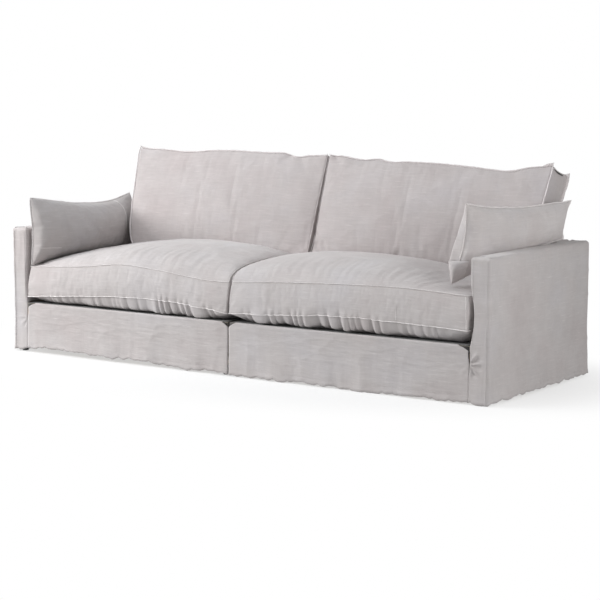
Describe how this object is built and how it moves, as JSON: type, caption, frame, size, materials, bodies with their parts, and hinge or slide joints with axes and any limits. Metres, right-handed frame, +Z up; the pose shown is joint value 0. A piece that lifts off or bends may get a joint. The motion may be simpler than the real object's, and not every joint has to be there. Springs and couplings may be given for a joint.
{
  "type": "slipcovered two-piece sofa",
  "caption": "Two-piece slipcovered sofa with square arms as high as its back, overstuffed box seat and back cushions, and arm pillows.",
  "frame": {"origin": "middle of the footprint, on the floor", "axes": "+X along the sofa, towards its right arm as seen from the front; +Y towards the back; +Z up"},
  "size_m": [2.6155, 0.938, 0.9598],
  "materials": {
    "timber": "planed",
    "glide": "satin black",
    "webbing": "woven strap",
    "foam": "open-cell foam",
    "filling": "soft fibre",
    "linen": "washed plain weave",
    "connector": "zinc plated"
  },
  "bodies": {
    "left_half": {"left_front_rail": "timber", "left_back_rail": "timber", "left_inner_side_rail": "timber", "left_arm_side_rail": "timber", "left_arm_front_post": "timber", "left_arm_rear_post": "timber", "left_back_inner_post": "timber", "left_back_middle_post": "timber", "left_arm_top_rail": "timber", "left_back_top_rail": "timber", "left_front_inner_glide": "glide", "left_front_outer_glide": "glide", "left_rear_inner_glide": "glide", "left_rear_outer_glide": "glide", "left_seat_webbing": "webbing", "left_deck_pad": "foam", "left_arm_pad": "foam", "left_back_pad": "foam", "left_arm_cover": "linen", "left_back_cover": "linen", "left_deck_cover": "linen", "left_front_apron": "linen", "left_joint_end_panel": "linen", "connector_tongue": "connector"},
    "right_half": {"right_front_rail": "timber", "right_back_rail": "timber", "right_inner_side_rail": "timber", "right_arm_side_rail": "timber", "right_arm_front_post": "timber", "right_arm_rear_post": "timber", "right_back_inner_post": "timber", "right_back_middle_post": "timber", "right_arm_top_rail": "timber", "right_back_top_rail": "timber", "right_front_inner_glide": "glide", "right_front_outer_glide": "glide", "right_rear_inner_glide": "glide", "right_rear_outer_glide": "glide", "right_seat_webbing": "webbing", "right_deck_pad": "foam", "right_arm_pad": "foam", "right_back_pad": "foam", "right_arm_cover": "linen", "right_back_cover": "linen", "right_deck_cover": "linen", "right_front_apron": "linen", "right_joint_end_panel": "linen", "connector_jaw": "connector"},
    "left_seat_cushion": {"left_seat_cushion_cover": "linen", "left_seat_cushion_core": "foam"},
    "left_back_cushion": {"left_back_cushion_cover": "linen", "left_back_cushion_filling": "filling"},
    "left_arm_pillow": {"left_arm_pillow_cover": "linen", "left_arm_pillow_filling": "filling"},
    "right_seat_cushion": {"right_seat_cushion_cover": "linen", "right_seat_cushion_core": "foam"},
    "right_back_cushion": {"right_back_cushion_cover": "linen", "right_back_cushion_filling": "filling"},
    "right_arm_pillow": {"right_arm_pillow_cover": "linen", "right_arm_pillow_filling": "filling"}
  },
  "joints": [
    {"name": "halves_part", "type": "slide", "parent": "left_half", "child": "right_half", "axis": [1, 0, 0], "range_m": [0, 0.4]},
    {"name": "left_seat_pull", "type": "slide", "parent": "left_half", "child": "left_seat_cushion", "axis": [0, -1, 0], "range_m": [0, 0.35]},
    {"name": "left_back_lift", "type": "slide", "parent": "left_half", "child": "left_back_cushion", "axis": [0, 0.309, 0.9511], "range_m": [0, 0.35]},
    {"name": "left_pillow_lift", "type": "slide", "parent": "left_seat_cushion", "child": "left_arm_pillow", "axis": [0, 0, 1], "range_m": [0, 0.4]},
    {"name": "right_seat_pull", "type": "slide", "parent": "right_half", "child": "right_seat_cushion", "axis": [0, -1, 0], "range_m": [0, 0.35]},
    {"name": "right_back_lift", "type": "slide", "parent": "right_half", "child": "right_back_cushion", "axis": [0, 0.309, 0.9511], "range_m": [0, 0.35]},
    {"name": "right_pillow_lift", "type": "slide", "parent": "right_seat_cushion", "child": "right_arm_pillow", "axis": [0, 0, 1], "range_m": [0, 0.4]}
  ]
}
